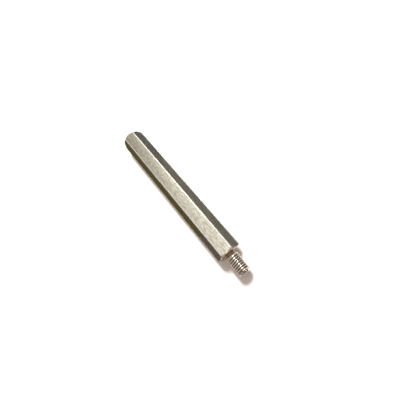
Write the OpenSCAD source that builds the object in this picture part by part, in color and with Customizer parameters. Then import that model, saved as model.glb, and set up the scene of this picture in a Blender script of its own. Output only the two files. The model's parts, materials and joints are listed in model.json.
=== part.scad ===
// Hex standoff: a male-female spacer turned from one length of hexagon bar.
// It lies on one flat, with its axis along X and its stud pointing to +X.
// The origin is on the surface it lies on, under the middle of its length.

/* [Bar] */
// Width of the hexagon bar across its flats
across_flats = 5; // [4.5:0.1:6]
// Length of the hexagon body, from its socket face to its shoulder
body_length = 40; // [16:1:60]
// Radius left on the long corners by drawing the bar
corner_radius = 0.2; // [0.1:0.05:0.3]

/* [End chamfers] */
// Diameter of both end faces inside their chamfers, as a share of the width across flats
end_face_share = 0.98; // [0.9:0.01:1.05]
// Slope of the shoulder end's chamfer, measured from the axis
shoulder_chamfer_angle = 45; // [30:1:60]
// Slope of the socket end's chamfer, measured from the axis
socket_chamfer_angle = 30; // [25:1:60]

/* [Stud] */
// Thread diameter of the stud over its crests
stud_diameter = 3; // [2.8:0.1:3.4]
// Length of the stud, from the shoulder to its tip
stud_length = 5; // [4:0.5:12]
// Diameter of the undercut turned where the stud meets the shoulder
undercut_diameter = 2.35; // [2.2:0.05:2.5]
// Width of the floor of the undercut
undercut_width = 0.45; // [0.3:0.05:0.8]
// Length of the 45 degree chamfer on the tip
tip_chamfer = 0.5; // [0.2:0.05:0.6]
// Pitch of the stud's thread
thread_pitch = 0.5; // [0.4:0.05:0.6]

/* [Socket] */
// Diameter of the hole that the socket's thread is tapped in
tap_drill_diameter = 2.5; // [2.2:0.05:2.6]
// Depth of the drilled hole, down to where its point starts
drill_depth = 10; // [6:0.5:12]
// Included angle of the drill's point
drill_point_angle = 118; // [90:1:140]
// Diameter of the 90 degree countersink at the mouth
countersink_diameter = 3.2; // [3:0.05:3.6]

/* [Hidden] */
$fn = 96;

// Places along the axis
tip_x = (body_length + stud_length) / 2;
shoulder_x = tip_x - stud_length;
socket_x = shoulder_x - body_length;
axis_z = across_flats / 2;

// Hexagon section: its corners are arcs that run out on the flats, in small even steps
hexagon_corners = 6;
corner_angle = 360 / hexagon_corners;
half_corner = corner_angle / 2;
corner_arc_at = (across_flats / 2 - corner_radius) / cos(half_corner);
corner_reach = corner_arc_at + corner_radius;
corner_steps = 3;

// Both end chamfers run out on the corners, this far along the bar
end_face_r = end_face_share * across_flats / 2;
corner_cut = corner_reach - end_face_r;
shoulder_run = corner_cut / tan(shoulder_chamfer_angle);
socket_run = corner_cut / tan(socket_chamfer_angle);

// Turned sizes, as radii
stud_r = stud_diameter / 2;
undercut_r = undercut_diameter / 2;
undercut_ramp = stud_r - undercut_r;
hole_r = tap_drill_diameter / 2;
countersink_r = countersink_diameter / 2;
countersink_depth = countersink_r - hole_r;
drill_point_length = hole_r / tan(drill_point_angle / 2);

// Thread form: 60 degree flanks, a crest an eighth of the pitch wide and a root a quarter of it wide
crest_width = thread_pitch / 8;
root_width = thread_pitch / 4;
flank_run = (thread_pitch - crest_width - root_width) / 2;
thread_depth = flank_run / tan(30);
root_r = stud_r - thread_depth;
first_groove_x = shoulder_x + undercut_width + undercut_ramp + crest_width;
grooves = floor((tip_x - tip_chamfer / 2 - first_groove_x) / thread_pitch);

// The stud's root is sunk this far into the body, and cutters stand this far proud of what they cut
overlap = 1;

// Turns a profile of [distance from the axis, place along X] about the part's axis
module turned(profile) {
    translate([0, 0, axis_z])
        rotate([0, 90, 0])
            rotate_extrude()
                polygon(profile);
}

// The bar's section, with a flat facing up and its six corners rounded
module hexagon_section() {
    polygon([
        for (corner = [0 : hexagon_corners - 1], step = [-corner_steps : corner_steps])
            let (a = corner * corner_angle, b = a + half_corner * step / corner_steps)
                corner_arc_at * [cos(a), sin(a)] + corner_radius * [cos(b), sin(b)]
    ]);
}

// A length of hexagon bar with its flats up and down
module hexagon_bar() {
    translate([socket_x, 0, axis_z])
        rotate([90, 0, 90])
            linear_extrude(height = body_length)
                hexagon_section();
}

// What the chamfering tools leave: a round envelope that cuts only the corners
module chamfer_envelope() {
    turned([
        [0, socket_x],
        [end_face_r, socket_x],
        [corner_reach, socket_x + socket_run],
        [corner_reach, shoulder_x - shoulder_run],
        [end_face_r, shoulder_x],
        [0, shoulder_x]
    ]);
}

// The stud before it is threaded: undercut, full diameter, and chamfered tip
module stud_blank() {
    turned([
        [0, shoulder_x - overlap],
        [undercut_r, shoulder_x - overlap],
        [undercut_r, shoulder_x + undercut_width],
        [stud_r, shoulder_x + undercut_width + undercut_ramp],
        [stud_r, tip_x - tip_chamfer],
        [stud_r - tip_chamfer, tip_x],
        [0, tip_x]
    ]);
}

// The thread's grooves, each a plain ring in place of one turn of the helix
module thread_grooves() {
    for (i = [0 : grooves - 1])
        translate([i * thread_pitch, 0, 0])
            turned([
                [stud_r + overlap, first_groove_x],
                [stud_r, first_groove_x],
                [root_r, first_groove_x + flank_run],
                [root_r, first_groove_x + flank_run + root_width],
                [stud_r, first_groove_x + 2 * flank_run + root_width],
                [stud_r + overlap, first_groove_x + 2 * flank_run + root_width]
            ]);
}

module stud() {
    difference() {
        stud_blank();
        thread_grooves();
    }
}

// The blind hole tapped in the other end, with its countersink and the drill's point
module socket_hole() {
    turned([
        [0, socket_x - overlap],
        [countersink_r + overlap, socket_x - overlap],
        [hole_r, socket_x + countersink_depth],
        [hole_r, socket_x + drill_depth],
        [0, socket_x + drill_depth + drill_point_length]
    ]);
}

module hex_standoff() {
    color([0.80, 0.77, 0.70])
        difference() {
            union() {
                intersection() {
                    hexagon_bar();
                    chamfer_envelope();
                }
                stud();
            }
            socket_hole();
        }
}

hex_standoff();
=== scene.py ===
"""Hex standoff: a nickel-plated brass spacer, turned from hexagon bar, lying on one flat.

The bar, its chamfered ends, the threaded stud and the tapped hole are one closed surface. It is a grid
of rows along the part and columns round its axis, so every shape below is a distance along X and a
distance from the axis, worked out for all columns at once.
"""
import json
import math

import bmesh
import bpy
import numpy as np
from mathutils import Matrix, Vector


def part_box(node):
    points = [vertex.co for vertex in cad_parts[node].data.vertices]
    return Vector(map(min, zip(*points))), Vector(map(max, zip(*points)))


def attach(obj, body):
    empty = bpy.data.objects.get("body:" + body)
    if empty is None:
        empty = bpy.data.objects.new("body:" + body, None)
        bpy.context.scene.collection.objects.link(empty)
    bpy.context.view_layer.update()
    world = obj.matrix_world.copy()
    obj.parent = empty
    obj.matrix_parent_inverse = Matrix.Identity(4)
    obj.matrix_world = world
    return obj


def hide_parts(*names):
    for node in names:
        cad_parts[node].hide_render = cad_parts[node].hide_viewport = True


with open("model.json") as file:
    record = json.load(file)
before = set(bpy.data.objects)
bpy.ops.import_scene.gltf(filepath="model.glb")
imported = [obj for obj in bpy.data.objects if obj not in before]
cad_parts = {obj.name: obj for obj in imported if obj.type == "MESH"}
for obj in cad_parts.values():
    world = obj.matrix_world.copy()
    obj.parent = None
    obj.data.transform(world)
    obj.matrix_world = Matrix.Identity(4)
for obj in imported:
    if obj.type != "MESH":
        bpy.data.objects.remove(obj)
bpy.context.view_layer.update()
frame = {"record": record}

MM = 0.001

# ---------------------------------------------------------------- sizes, from the frame

mounts = {mount["name"]: mount for mount in frame["record"]["mounts"]}
low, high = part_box("hex_standoff")

tip_x = high.x
socket_x = low.x
axis_z = (low.z + high.z) / 2
across_flats = high.z - low.z
stud_r = mounts["stud"]["dims"]["r_mm"] * MM
hole_r = mounts["tapped_hole"]["dims"]["r_mm"] * MM

# ---------------------------------------------------------------- sizes the frame doesn't state

# The bar and its end chamfers
body_length = 40 * MM
shoulder_x = socket_x + body_length
corner_radius = 0.2 * MM
flat_crown = 0.02 * MM
end_face_r = 0.98 * across_flats / 2
shoulder_chamfer_slope = math.tan(math.radians(45))
socket_chamfer_slope = math.tan(math.radians(30))

# The stud
undercut_r = 1.175 * MM
undercut_width = 0.45 * MM
tip_chamfer = 0.5 * MM
tip_rim_share = 0.9

# The hole
countersink_r = 1.6 * MM
mouth_rim = 0.04 * MM
drill_depth = 10 * MM
drill_point_length = hole_r / math.tan(math.radians(118 / 2))

# Both threads
pitch = 0.5 * MM
flank_share = 0.30
stud_thread_depth = 0.3 * MM
hole_thread_depth = 0.25 * MM
ramp_to_first_crest = 0.22 * MM
thread_run_out = 0.6 * MM
# How far up the ramp from the undercut the painted shade and brown film fade out
undercut_film_and_shade_run = 0.3 * MM
tapped_depth = 8 * MM
tap_lead = 1.5 * MM

# The easing of the body's edges, and how fine the mesh is
edge_ease = 0.05 * MM
ease_limit = 0.3
ease_steps = 4
shading_row = 1.5
rows_per_pitch = 16
arc_columns = 5
merge_distance = 2e-5 * MM
sharp_edge_degrees = 32

# The layers of a row: its place along X, its distance from the axis, and how hollow it is, from 0 to 1
X, RADIUS, HOLLOW = range(3)

# The finishes, in the order of the standoff's material slots
DRAWN, TURNED, THREADED = range(3)


# ---------------------------------------------------------------- the shape

def smooth(share):
    """The smooth step: a share from 0 to 1, squared, times three less twice the share."""
    return share * share * (3 - 2 * share)


def column_angles():
    """Angles round the axis, in radians, from one corner of the hexagon right round to the same corner.

    Each sixth has close columns over its corner's arc and wide ones over the flats on both sides. They
    are laid out in degrees from the corner.
    """
    arc_half = math.degrees(corner_arc_half_angle())
    on_arc = np.linspace(0, arc_half, arc_columns)
    beside_arc = np.array([arc_half + 0.25, 3.5, 6.0])
    on_flat = np.arange(10.0, 31.0, 4.0)
    half = np.concatenate([on_arc, beside_arc, on_flat])
    sixth = np.concatenate([-half[:0:-1], half[:-1]])
    sixths = np.add.outer(np.arange(6) * 60.0, sixth).ravel()
    return np.radians(np.append(sixths, sixths[0] + 360.0))


def corner_arc_centre():
    """Distance from the axis to the centre of each corner's arc."""
    return (across_flats / 2 - corner_radius) / math.cos(math.radians(30))


def corner_arc_half_angle():
    """Half of the angle, seen from the axis, over which a corner's arc runs."""
    centre = corner_arc_centre()
    across = corner_radius * math.sin(math.radians(30))
    along = corner_radius * math.cos(math.radians(30))
    return math.atan2(across, centre + along)


def hexagon_radius(angles):
    """Distance from the axis to the bar's surface.

    On a flat it is half the width across flats over the cosine of the angle from that flat's middle,
    less a slight crown that grows with the square of the distance from the middle. Within a corner's arc
    it is where the ray from the axis leaves the arc's circle.
    """
    from_corner = (angles + math.pi / 6) % (math.pi / 3) - math.pi / 6
    from_flat_middle = np.abs(from_corner) - math.pi / 6
    crown = flat_crown * (np.tan(from_flat_middle) / math.tan(math.pi / 6))**2
    flat = (across_flats / 2 - crown) / np.cos(from_flat_middle)
    centre = corner_arc_centre()
    under_root = np.maximum(corner_radius**2 - (centre * np.sin(from_corner))**2, 0)
    arc = centre * np.cos(from_corner) + np.sqrt(under_root)
    return np.where(np.abs(from_corner) < corner_arc_half_angle(), arc, flat)


def eased(stations):
    """Rows along a profile of straight lines whose inner corners are eased.

    stations holds x and radius for each station and column. Near each inner station the profile leaves
    its line, follows the quadratic curve that has the station as its control point, and joins the next
    line. The curve takes at most a set share of a short line. A row is added on each line just beyond
    the curve, to keep the line straight in its shading.
    """
    rows = [stations[0]]
    for before, corner, after in zip(stations[:-2], stations[1:-1], stations[2:]):
        back, ahead = before - corner, after - corner
        back_length = np.linalg.norm(back, axis=0)
        ahead_length = np.linalg.norm(ahead, axis=0)
        start = corner + back / back_length * np.minimum(edge_ease, ease_limit * back_length)
        end = corner + ahead / ahead_length * np.minimum(edge_ease, ease_limit * ahead_length)
        rows.append(corner + (start - corner) * shading_row)
        for t in np.linspace(0, 1, ease_steps + 1):
            rows.append((1 - t)**2 * start + 2 * t * (1 - t) * corner + t**2 * end)
        rows.append(corner + (end - corner) * shading_row)
    rows.append(stations[-1])
    return np.array(rows)


def middle_row(station):
    """Index, among the rows from eased, of the one in the middle of an inner station's curve."""
    rows_each = ease_steps + 3
    return 1 + (station - 1) * rows_each + 1 + ease_steps // 2


def thread_form(turns):
    """Height of the thread above its root, from 0 to 1, against the turns from a crest.

    Straight flanks, at about 60 degrees to each other, join a crest and a root that the plating has
    rounded: half of the height is the straight flank's, clipped to 0 and 1, and half is the smooth step
    through it.
    """
    from_crest = np.abs((turns + 0.5) % 1.0 - 0.5)
    flank = np.clip(0.5 + (0.25 - from_crest) / flank_share, 0, 1)
    return 0.5 * flank + 0.5 * smooth(flank)


def helix_rows(start, end, top_crest, angles, rows_each_turn):
    """X of rows that climb one pitch for each turn round the axis, right-hand, held between start and end.

    A crest lies at top_crest on the part's upper side. Rows that are held at an end lie on each other
    there, and are merged once the surface is whole. Also gives the thread's height at each point.
    """
    first = math.floor((start - top_crest) / pitch) - 1
    last = math.ceil((end - top_crest) / pitch) + 1
    step = rows_per_pitch // rows_each_turn
    within_turn = (np.arange(0, rows_per_pitch, step) - (rows_per_pitch // 2 - 1)) / rows_per_pitch
    turns = np.add.outer(np.arange(first, last + 1), within_turn).ravel()
    from_top = angles / (2 * math.pi) - 0.25
    x = top_crest + pitch * np.add.outer(turns, from_top)
    form = np.broadcast_to(thread_form(turns)[:, None], x.shape)
    return np.clip(x, start, end), form


def stud_rows(angles):
    """The stud from the undercut's edge to its tip: x, radius and hollowness.

    The blank's radius is the least of the crests', the 45 degree ramp up from the undercut, and the
    45 degree chamfer down to the tip. The thread's groove is cut in it, and fades out towards the
    undercut and over the tip's chamfer. The hollowness is the groove's share of its full depth, or on the
    ramp a share that falls from 1 at the undercut.
    """
    start = shoulder_x + undercut_width
    first_crest = start + stud_r - undercut_r + ramp_to_first_crest
    x, form = helix_rows(start, tip_x, first_crest, angles, rows_per_pitch)
    run_out = np.clip((x - start) / thread_run_out, 0, 1)
    from_tip = np.clip((tip_x - x) / tip_chamfer, 0, 1)
    depth = stud_thread_depth * smooth(run_out) * from_tip
    ramp = undercut_r + (x - start)
    chamfer = stud_r - tip_chamfer + (tip_x - x)
    blank = np.minimum(np.minimum(stud_r, ramp), chamfer)
    thread = np.minimum(stud_r - depth * (1 - form), blank)
    in_groove = (blank - thread) / stud_thread_depth
    # On the ramp the hollowness, and so the painted shade and film, falls from 1 at the undercut
    on_ramp = np.clip(1 - (x - start) / undercut_film_and_shade_run, 0, 1)
    return np.array([x, thread, np.maximum(in_groove, on_ramp)]).transpose(1, 0, 2)


def hole_rows(angles):
    """The tapped hole from its mouth to where the tap's cut has faded: x, radius and hollowness.

    The radius is the greater of two: the drilled wall with the thread's groove cut into it, and the
    90 degree countersink at the mouth.
    """
    end = socket_x + tapped_depth + tap_lead
    x, form = helix_rows(socket_x, end, socket_x, angles, rows_per_pitch // 2)
    lead = np.clip((end - x) / tap_lead, 0, 1)
    thread = hole_r + hole_thread_depth * lead * (1 - form)
    radius = np.maximum(thread, countersink_r - (x - socket_x))
    return np.array([x, radius, 1 - form]).transpose(1, 0, 2)


def with_hollow(rows, hollow):
    """Rows of x and radius with the same hollowness added to each point."""
    return np.concatenate([rows, np.full_like(rows[:, :1], hollow)], axis=1)


def standoff_rows(angles):
    """All rows, from the drill's point in the hole, out over the bar, to the middle of the stud's tip.

    Also gives, for each row, the finish of the surface from it to the next one. Where two finishes meet
    at an eased edge, they meet in the middle of its curve.
    """
    hexagon = hexagon_radius(angles)
    level = np.ones_like(angles)
    shoulder_cut = (hexagon - end_face_r) / shoulder_chamfer_slope
    socket_cut = (hexagon - end_face_r) / socket_chamfer_slope
    hole_end = (socket_x + drill_depth) * level
    drilled = np.array([
        [hole_end + drill_point_length, 0 * level],
        [hole_end, hole_r * level],
    ])
    tapped = hole_rows(angles)[::-1]
    outside = np.array([
        [socket_x * level, countersink_r * level],
        [socket_x * level, (countersink_r + mouth_rim) * level],
        [socket_x * level, end_face_r * level],
        [socket_x + socket_cut, hexagon],
        [shoulder_x - shoulder_cut, hexagon],
        [shoulder_x * level, end_face_r * level],
        [shoulder_x * level, undercut_r * level],
        [(shoulder_x + undercut_width) * level, undercut_r * level],
    ])
    hexagon_start, hexagon_end, undercut_corner = 3, 4, 6
    body = with_hollow(eased(outside), 0)
    # From the middle of the undercut's corner on, the surface is fully hollow and gets the full painted
    # shade and brown film
    body[middle_row(undercut_corner):, HOLLOW] = 1
    body_finish = np.full(len(body), TURNED)
    body_finish[middle_row(hexagon_start):middle_row(hexagon_end)] = DRAWN
    stud = stud_rows(angles)
    tip = np.array([
        [tip_x * level, (stud_r - tip_chamfer) * tip_rim_share * level],
        [tip_x * level, 0 * level],
    ])
    parts = [with_hollow(drilled, 1), tapped, body[1:-1], stud, with_hollow(tip, 0)]
    finishes = [
        np.full(len(drilled), THREADED),
        np.full(len(tapped), THREADED),
        body_finish[1:-1],
        np.full(len(stud), THREADED),
        np.full(len(tip), TURNED),
    ]
    return np.concatenate(parts), np.concatenate(finishes)


def standoff_mesh():
    """The closed surface: rows joined by quads, with the ends, the seam and the held rows merged.

    Each point has its row's x, and lies at its row's radius from the axis, in the direction of its
    column's angle: the radius times the cosine along Y, and times the sine upwards.
    """
    angles = column_angles()
    rows, finish = standoff_rows(angles)
    x, radius = rows[:, X, :], rows[:, RADIUS, :]
    points = np.stack([x, radius * np.cos(angles), axis_z + radius * np.sin(angles)], axis=-1)
    n_rows, n_columns = x.shape
    index = np.arange(n_rows * n_columns).reshape(n_rows, n_columns)
    quads = np.stack([index[:-1, :-1], index[:-1, 1:], index[1:, 1:], index[1:, :-1]], axis=-1)
    mesh = bpy.data.meshes.new("hex_standoff_plated")
    mesh.from_pydata(points.reshape(-1, 3).tolist(), [], quads.reshape(-1, 4).tolist())
    mesh.polygons.foreach_set("material_index", np.repeat(finish[:-1], n_columns - 1))
    mesh.attributes.new("hollow", "FLOAT", "POINT").data.foreach_set("value", rows[:, HOLLOW, :].ravel())
    work = bmesh.new()
    work.from_mesh(mesh)
    bmesh.ops.remove_doubles(work, verts=work.verts, dist=merge_distance)
    bmesh.ops.recalc_face_normals(work, faces=work.faces)
    work.to_mesh(mesh)
    work.free()
    mesh.shade_smooth()
    mesh.set_sharp_from_angle(angle=math.radians(sharp_edge_degrees))
    return mesh


standoff = bpy.data.objects.new("hex_standoff_plated", standoff_mesh())
bpy.context.scene.collection.objects.link(standoff)


# ---------------------------------------------------------------- materials

def feed(tree, socket, value):
    """Links a socket to another node's output, or sets it to a plain number, vector or colour."""
    if isinstance(value, bpy.types.NodeSocket):
        tree.links.new(value, socket)
    else:
        socket.default_value = value


def maths(tree, operation, *values, clamp=False):
    """The output of a Math node."""
    node = tree.nodes.new("ShaderNodeMath")
    node.operation = operation
    node.use_clamp = clamp
    for socket, value in zip(node.inputs, values):
        feed(tree, socket, value)
    return node.outputs["Value"]


def smooth_step(tree, value, start, end):
    """0 before start, 1 after end, and a smooth rise between them."""
    node = tree.nodes.new("ShaderNodeMapRange")
    node.interpolation_type = "SMOOTHSTEP"
    feed(tree, node.inputs["Value"], value)
    feed(tree, node.inputs["From Min"], start)
    feed(tree, node.inputs["From Max"], end)
    return node.outputs["Result"]


def blend(tree, share, first, second):
    """A colour between two colours."""
    node = tree.nodes.new("ShaderNodeMix")
    node.data_type = "RGBA"
    sockets = {socket.identifier: socket for socket in (*node.inputs, *node.outputs)}
    feed(tree, sockets["Factor_Float"], share)
    feed(tree, sockets["A_Color"], first)
    feed(tree, sockets["B_Color"], second)
    return sockets["Result_Color"]


def noise(tree, vector, detail=2.0, roughness=0.5):
    """Noise of unit scale over a vector that is already divided by the size of its cells."""
    node = tree.nodes.new("ShaderNodeTexNoise")
    feed(tree, node.inputs["Vector"], vector)
    node.inputs["Scale"].default_value = 1.0
    node.inputs["Detail"].default_value = detail
    node.inputs["Roughness"].default_value = roughness
    return node.outputs["Fac"]


def spread(tree, value, contrast):
    """A value about 0.5, moved away from 0.5 by the contrast and held between 0 and 1."""
    from_middle = maths(tree, "SUBTRACT", value, 0.5)
    return maths(tree, "MULTIPLY_ADD", from_middle, contrast, 0.5, clamp=True)


def place(tree):
    """Object coordinates, in metres, as one vector and as x, y and z measured from the part's axis."""
    vector = tree.nodes.new("ShaderNodeTexCoord").outputs["Object"]
    parts = tree.nodes.new("ShaderNodeSeparateXYZ")
    tree.links.new(vector, parts.inputs[0])
    height = maths(tree, "SUBTRACT", parts.outputs["Z"], axis_z)
    return vector, parts.outputs["X"], parts.outputs["Y"], height


def from_axis(tree):
    """Distance from the part's axis: the root of y squared plus z squared."""
    _, _, y, z = place(tree)
    squares = maths(tree, "ADD", maths(tree, "MULTIPLY", y, y), maths(tree, "MULTIPLY", z, z))
    return maths(tree, "SQRT", squares)


def stretched(tree, along, across):
    """Object coordinates divided by one size along the part's axis and another across it."""
    vector, _, _, _ = place(tree)
    sizes = tree.nodes.new("ShaderNodeCombineXYZ")
    for socket, size in zip(sizes.inputs, (along, across, across)):
        feed(tree, socket, size)
    divided = tree.nodes.new("ShaderNodeVectorMath")
    divided.operation = "DIVIDE"
    tree.links.new(vector, divided.inputs[0])
    tree.links.new(sizes.outputs[0], divided.inputs[1])
    return divided.outputs[0]


def new_group(name, inputs, outputs):
    """An empty shader group, whose inputs are numbers with their usual values and its outputs numbers.

    Returns the group, the values that it is given, and the sockets that its results go to.
    """
    group = bpy.data.node_groups.new(name, "ShaderNodeTree")
    for socket_name, value in inputs.items():
        socket = group.interface.new_socket(socket_name, in_out="INPUT", socket_type="NodeSocketFloat")
        socket.default_value = value
    for socket_name in outputs:
        group.interface.new_socket(socket_name, in_out="OUTPUT", socket_type="NodeSocketFloat")
    return group, group.nodes.new("NodeGroupInput").outputs, group.nodes.new("NodeGroupOutput").inputs


def drawn_streaks_group():
    """Fine streaks that the drawing die leaves along the bar: two sizes of long noise, added and spread."""
    fine_scale = 0.35
    inputs = {"Length": 4 * MM, "Width": 0.12 * MM, "Fine Share": 0.5, "Contrast": 3.0}
    group, given, result = new_group("drawn streaks", inputs, ["Height"])
    coarse = noise(group, stretched(group, given["Length"], given["Width"]), detail=1.0)
    fine_length = maths(group, "MULTIPLY", given["Length"], fine_scale)
    fine_width = maths(group, "MULTIPLY", given["Width"], fine_scale)
    fine = noise(group, stretched(group, fine_length, fine_width), detail=1.0)
    coarse_share = maths(group, "SUBTRACT", 1.0, given["Fine Share"])
    coarse_part = maths(group, "MULTIPLY", coarse, coarse_share)
    both = maths(group, "MULTIPLY_ADD", fine, given["Fine Share"], coarse_part)
    feed(group, result["Height"], spread(group, both, given["Contrast"]))
    return group


def plating_grain_group():
    """The plating's mottle: noise in cells of the given size, longer along the bar, spread."""
    inputs = {"Size": 0.35 * MM, "Stretch": 1.6, "Contrast": 2.0}
    group, given, result = new_group("plating grain", inputs, ["Grain"])
    along = maths(group, "MULTIPLY", given["Size"], given["Stretch"])
    cells = noise(group, stretched(group, along, given["Size"]), detail=3.0, roughness=0.65)
    feed(group, result["Grain"], spread(group, cells, given["Contrast"]))
    return group


def corner_highlight_band_group():
    """The bar's long corners, where a highlight is painted, by distance from the axis: 0 up to the start, 1
    from the full distance on.
    """
    inputs = {"Start": 2.765 * MM, "Full": 2.80 * MM}
    group, given, result = new_group("corner highlight band", inputs, ["Mask"])
    feed(group, result["Mask"], smooth_step(group, from_axis(group), given["Start"], given["Full"]))
    return group


def turning_marks_group():
    """Rings left by the lathe: one-dimensional noise over the distance from the axis plus that along it."""
    inputs = {"Spacing": 0.05 * MM}
    group, given, result = new_group("turning marks", inputs, ["Height"])
    _, x, _, _ = place(group)
    travel = maths(group, "ADD", from_axis(group), x)
    rings = group.nodes.new("ShaderNodeTexNoise")
    rings.noise_dimensions = "1D"
    feed(group, rings.inputs["W"], maths(group, "DIVIDE", travel, given["Spacing"]))
    rings.inputs["Scale"].default_value = 1.0
    rings.inputs["Detail"].default_value = 2.0
    feed(group, result["Height"], rings.outputs["Fac"])
    return group


def hollow_film_and_shade_group():
    """Brown where the surface is hollow: partly a real film round the stud's root, partly painted shade in
    the threads' roots and the undercut. It follows the mesh's own measure of hollowness, made uneven by
    noise.
    """
    inputs = {"Start": 0.1, "Full": 0.9, "Unevenness": 0.4, "Size": 0.4 * MM}
    group, given, result = new_group("hollow film and shade", inputs, ["Mask"])
    hollow = group.nodes.new("ShaderNodeAttribute")
    hollow.attribute_name = "hollow"
    cells = noise(group, stretched(group, given["Size"], given["Size"]))
    uneven = maths(group, "MULTIPLY", maths(group, "SUBTRACT", cells, 0.5), given["Unevenness"])
    depth = maths(group, "ADD", hollow.outputs["Fac"], uneven)
    feed(group, result["Mask"], smooth_step(group, depth, given["Start"], given["Full"]))
    return group


drawn_streaks = drawn_streaks_group()
plating_grain = plating_grain_group()
corner_highlight_band = corner_highlight_band_group()
turning_marks = turning_marks_group()
hollow_film_and_shade = hollow_film_and_shade_group()


def use(tree, group, output, **inputs):
    """One use of a shader group, with some of its inputs set. Returns the named output."""
    node = tree.nodes.new("ShaderNodeGroup")
    node.node_tree = group
    for name, value in inputs.items():
        feed(tree, node.inputs[name.title()], value)
    return node.outputs[output]


def bump(tree, height, strength, depth):
    """A normal tilted by a height from 0 to 1, which stands for the given depth."""
    node = tree.nodes.new("ShaderNodeBump")
    node.inputs["Strength"].default_value = strength
    node.inputs["Distance"].default_value = depth
    feed(tree, node.inputs["Height"], height)
    return node.outputs["Normal"]


def metal(name):
    """A material with a fully metallic shader. Returns the material, its node tree and the shader."""
    material = bpy.data.materials.new(name)
    material.use_nodes = True
    shader = material.node_tree.nodes["Principled BSDF"]
    shader.inputs["Metallic"].default_value = 1.0
    return material, material.node_tree, shader


def nickel_drawn():
    """The bar's flats and corners: satin, mottled, with streaks along the bar and a painted highlight along
    the corners.

    On the flats the grain goes from dull to bright, a greenish film lies over it in larger patches, and
    pale streaks over both. A bright strip without relief, a painted highlight, runs on both sides of each
    corner's arc, and the arc itself is duller.
    """
    dull = (0.33, 0.31, 0.20, 1)
    bright = (0.81, 0.79, 0.67, 1)
    greenish = (0.55, 0.56, 0.38, 1)
    pale = (0.74, 0.72, 0.63, 1)
    highlight_strip_colour = (0.88, 0.875, 0.84, 1)
    arc_colour = (0.44, 0.42, 0.36, 1)
    film_share = 0.25
    streak_share = 0.55
    relief_depth = 0.008 * MM
    material, tree, shader = metal("nickel_drawn")

    grain = use(tree, plating_grain, "Grain", size=0.42 * MM, stretch=2.4, contrast=3.5)
    film = use(tree, plating_grain, "Grain", size=1.0 * MM, contrast=3.5)
    streaks = use(tree, drawn_streaks, "Height", width=0.2 * MM, contrast=4.0)
    highlight_strip = use(tree, corner_highlight_band, "Mask")
    arc = use(tree, corner_highlight_band, "Mask", start=2.825 * MM, full=2.84 * MM)

    mottled = blend(tree, grain, dull, bright)
    filmed = blend(tree, maths(tree, "MULTIPLY", film, film_share), mottled, greenish)
    streaked = blend(tree, maths(tree, "MULTIPLY", streaks, streak_share), filmed, pale)
    # The strip beside each corner's arc is coloured as a painted highlight; the arc itself is darker
    highlight_and_arc = blend(tree, arc, highlight_strip_colour, arc_colour)
    feed(tree, shader.inputs["Base Color"], blend(tree, highlight_strip, streaked, highlight_and_arc))

    # Slightly smoother where the grain is bright, rougher at the corners, and a little less so on the arc
    satin = maths(tree, "MULTIPLY_ADD", grain, -0.05, 0.275)
    at_corner = maths(tree, "MULTIPLY_ADD", highlight_strip, 0.18, satin)
    feed(tree, shader.inputs["Roughness"], maths(tree, "MULTIPLY_ADD", arc, -0.02, at_corner))

    # The relief is half grain and half streaks, and the painted highlight strips at the corners have none
    relief = maths(tree, "MULTIPLY_ADD", grain, 0.5, maths(tree, "MULTIPLY", streaks, 0.5))
    off_highlight_strip = maths(tree, "SUBTRACT", 1.0, highlight_strip)
    kept = maths(tree, "MULTIPLY", maths(tree, "SUBTRACT", relief, 0.5), off_highlight_strip)
    feed(tree, shader.inputs["Normal"], bump(tree, kept, 1.0, relief_depth))
    return material


def nickel_turned():
    """The turned ends and chamfers: bright, with faint rings, darker round the root of the stud, where a
    brown film and painted shade lie.
    """
    clean = (0.92, 0.86, 0.78, 1)
    cleanest = (0.97, 0.93, 0.88, 1)
    brown_film_and_shade = (0.25, 0.16, 0.10, 1)
    material, tree, shader = metal("nickel_turned")
    rings = use(tree, turning_marks, "Height")
    grain = use(tree, plating_grain, "Grain")
    film_and_shade = use(tree, hollow_film_and_shade, "Mask", start=0.35)
    plated = blend(tree, grain, clean, cleanest)
    # Brown round the stud's root and in the undercut: partly film, partly painted shade
    feed(tree, shader.inputs["Base Color"], blend(tree, film_and_shade, plated, brown_film_and_shade))
    feed(tree, shader.inputs["Roughness"], maths(tree, "MULTIPLY_ADD", rings, 0.12, 0.14))
    feed(tree, shader.inputs["Normal"], bump(tree, rings, 0.5, 0.003 * MM))
    return material


def nickel_thread():
    """Both threads: bright on the crests, brown in the roots, which is painted shade with some film."""
    clean = (0.86, 0.81, 0.73, 1)
    cleanest = (0.95, 0.91, 0.84, 1)
    brown_film_and_shade = (0.36, 0.28, 0.21, 1)
    material, tree, shader = metal("nickel_thread")
    grain = use(tree, plating_grain, "Grain", size=0.2 * MM)
    film_and_shade = use(tree, hollow_film_and_shade, "Mask")
    plated = blend(tree, grain, clean, cleanest)
    # Brown in the roots: painted shade, with some film
    feed(tree, shader.inputs["Base Color"], blend(tree, film_and_shade, plated, brown_film_and_shade))
    feed(tree, shader.inputs["Roughness"], maths(tree, "MULTIPLY_ADD", grain, 0.08, 0.18))
    feed(tree, shader.inputs["Normal"], bump(tree, grain, 0.4, 0.003 * MM))
    return material


# In the order of DRAWN, TURNED and THREADED
for material in (nickel_drawn(), nickel_turned(), nickel_thread()):
    standoff.data.materials.append(material)

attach(standoff, "root")
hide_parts("hex_standoff")


# ---------------------------------------------------------------- floor and cards

def diffuse(name, colour):
    """A plain matt material."""
    material = bpy.data.materials.new(name)
    material.use_nodes = True
    shader = material.node_tree.nodes["Principled BSDF"]
    shader.inputs["Base Color"].default_value = (*colour, 1)
    shader.inputs["Roughness"].default_value = 1.0
    shader.inputs["Specular IOR Level"].default_value = 0.0
    return material


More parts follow.
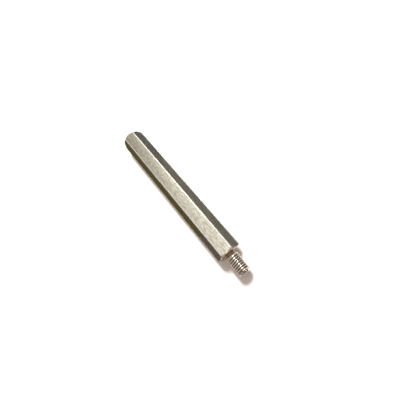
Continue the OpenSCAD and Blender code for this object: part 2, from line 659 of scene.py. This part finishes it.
def flat_sheet(name, centre, size, material):
    """A level rectangle of the given size, facing up, that belongs to the studio and not to the part."""
    half_x, half_y = size[0] / 2, size[1] / 2
    corners = [(-half_x, -half_y), (half_x, -half_y), (half_x, half_y), (-half_x, half_y)]
    mesh = bpy.data.meshes.new(name)
    mesh.from_pydata([(centre[0] + x, centre[1] + y, centre[2]) for x, y in corners], [], [(0, 1, 2, 3)])
    sheet = bpy.data.objects.new(name, mesh)
    sheet.data.materials.append(material)
    bpy.context.scene.collection.objects.link(sheet)
    return sheet


def dark_card(name, x_range, y_range, colour):
    """A dark or grey sheet just over the floor, seen only in the metal's reflections: a painted dark
    reflection that stands in for shade and dark surroundings.

    Its ranges along x and y are in millimetres.
    """
    height = 0.2 * MM
    centre = (sum(x_range) * MM / 2, sum(y_range) * MM / 2, height)
    size = ((x_range[1] - x_range[0]) * MM, (y_range[1] - y_range[0]) * MM)
    card = flat_sheet(name, centre, size, diffuse(name, colour))
    card.visible_camera = False
    card.visible_diffuse = False
    card.visible_shadow = False


floor_size = 2.4
flat_sheet("floor", (0, 0, 0), (floor_size, floor_size), diffuse("white_floor", (0.95, 0.875, 0.81)))

# Right and left are as seen from the stud's end, looking along the bar, so right is +Y
# The cards paint shade and dark surroundings into the metal's reflections
dark_card("right_far_card", (-80, -16), (4, 100), (0.12, 0.11, 0.105))
dark_card("right_near_card", (-16, 17.5), (4, 100), (0.165, 0.145, 0.13))
dark_card("right_front_card", (17.5, 200), (6.5, 100), (0.14, 0.115, 0.10))
dark_card("left_far_card", (-80, 9.1), (-60, -4), (0.09, 0.07, 0.027))
dark_card("front_card", (28, 1200), (-300, 300), (0.10, 0.08, 0.06))
dark_card("left_near_card", (9.1, 17.5), (-60, -4.8), (0.095, 0.068, 0.058))
dark_card("left_front_card", (18.1, 28), (-60, -1.5), (0.52, 0.44, 0.39))


# ---------------------------------------------------------------- light

def softbox(name, direction, distance, size, radiance, colour):
    """A square lamp at a distance in a given direction, facing the part, with a face of given brightness."""
    lamp = bpy.data.lights.new(name, "AREA")
    lamp.shape = "SQUARE"
    lamp.size = size
    lamp.energy = radiance * math.pi * size * size
    lamp.color = colour
    thing = bpy.data.objects.new(name, lamp)
    back = Vector(direction).normalized()
    turn = back.to_track_quat("Z", "Y").to_matrix().to_4x4()
    thing.matrix_world = Matrix.Translation(back * distance) @ turn
    bpy.context.scene.collection.objects.link(thing)
    return thing


# The key lamp lights only the metal, and the floor lamp only the floor and the cards
key_lamp = softbox(
    "key_lamp",
    direction=(-0.62, 0.40, 1.0),
    distance=1.3,
    size=0.25,
    radiance=73,
    colour=(0.94, 0.98, 0.95),
)
key_lamp.visible_diffuse = False
floor_lamp = softbox(
    "floor_lamp",
    direction=(-0.50, 0.31, 1.0),
    distance=10,
    size=1.92,
    radiance=86,
    colour=(0.94, 1.04, 1.15),
)
floor_lamp.visible_glossy = False


def studio_world(horizon, middle, sides, front, zenith):
    """Light from all round, by the height of its direction, which is 0 at the horizon and 1 overhead.

    The colour goes from the horizon's to the middle one over the lowest tenth, and from there to the
    zenith's with the sixth power of the height. Reflections see the middle lighter to both sides of the
    part and darker in front of its stud. The camera sees the horizon's colour at every height.
    """
    world = bpy.data.worlds.new("studio")
    world.use_nodes = True
    tree = world.node_tree
    rays = tree.nodes.new("ShaderNodeLightPath").outputs
    direction = tree.nodes.new("ShaderNodeTexCoord").outputs["Generated"]
    parts = tree.nodes.new("ShaderNodeSeparateXYZ")
    tree.links.new(direction, parts.inputs[0])
    height = maths(tree, "MAXIMUM", parts.outputs["Z"], 0.0)
    sideways = smooth_step(tree, maths(tree, "ABSOLUTE", parts.outputs["Y"]), start=0.35, end=0.8)
    ahead = smooth_step(tree, parts.outputs["X"], start=0.8, end=0.9)
    reflected = blend(tree, ahead, blend(tree, sideways, middle, sides), front)
    upper = blend(tree, rays["Is Glossy Ray"], middle, reflected)
    lower = blend(tree, smooth_step(tree, height, start=0.03, end=0.1), horizon, upper)
    sky = blend(tree, maths(tree, "POWER", height, 6.0), lower, zenith)
    seen = blend(tree, rays["Is Camera Ray"], sky, horizon)
    feed(tree, tree.nodes["Background"].inputs["Color"], seen)
    return world


bpy.context.scene.world = studio_world(
    horizon=(1.0, 1.0, 1.0, 1),
    middle=(0.19, 0.145, 0.12, 1),
    sides=(0.55, 0.53, 0.50, 1),
    front=(0.06, 0.05, 0.045, 1),
    zenith=(1.28, 1.22, 1.24, 1),
)


# ---------------------------------------------------------------- camera

def make_camera(position, aim, roll, lens):
    """A camera at a position, facing a point, turned about its own line of sight by roll degrees."""
    back = (Vector(position) - Vector(aim)).normalized()
    level_right = Vector((0, 0, 1)).cross(back).normalized()
    level_up = back.cross(level_right)
    angle = math.radians(roll)
    right = level_right * math.cos(angle) + level_up * math.sin(angle)
    up = back.cross(right)
    camera = bpy.data.objects.new("camera", bpy.data.cameras.new("camera"))
    camera.matrix_world = Matrix((
        (right.x, up.x, back.x, position[0]),
        (right.y, up.y, back.y, position[1]),
        (right.z, up.z, back.z, position[2]),
        (0, 0, 0, 1),
    ))
    camera.data.sensor_width = 36
    camera.data.lens = lens
    camera.data.clip_start = 1 * MM
    camera.data.clip_end = 10
    bpy.context.scene.collection.objects.link(camera)
    bpy.context.scene.camera = camera


camera_position = (32.24 * MM, 6.05 * MM, 63.18 * MM)
camera_aim = (3.72 * MM, 2.72 * MM, 2.5 * MM)
make_camera(camera_position, camera_aim, roll=-48.56, lens=26.75)

bpy.context.scene.view_settings.view_transform = "Standard"
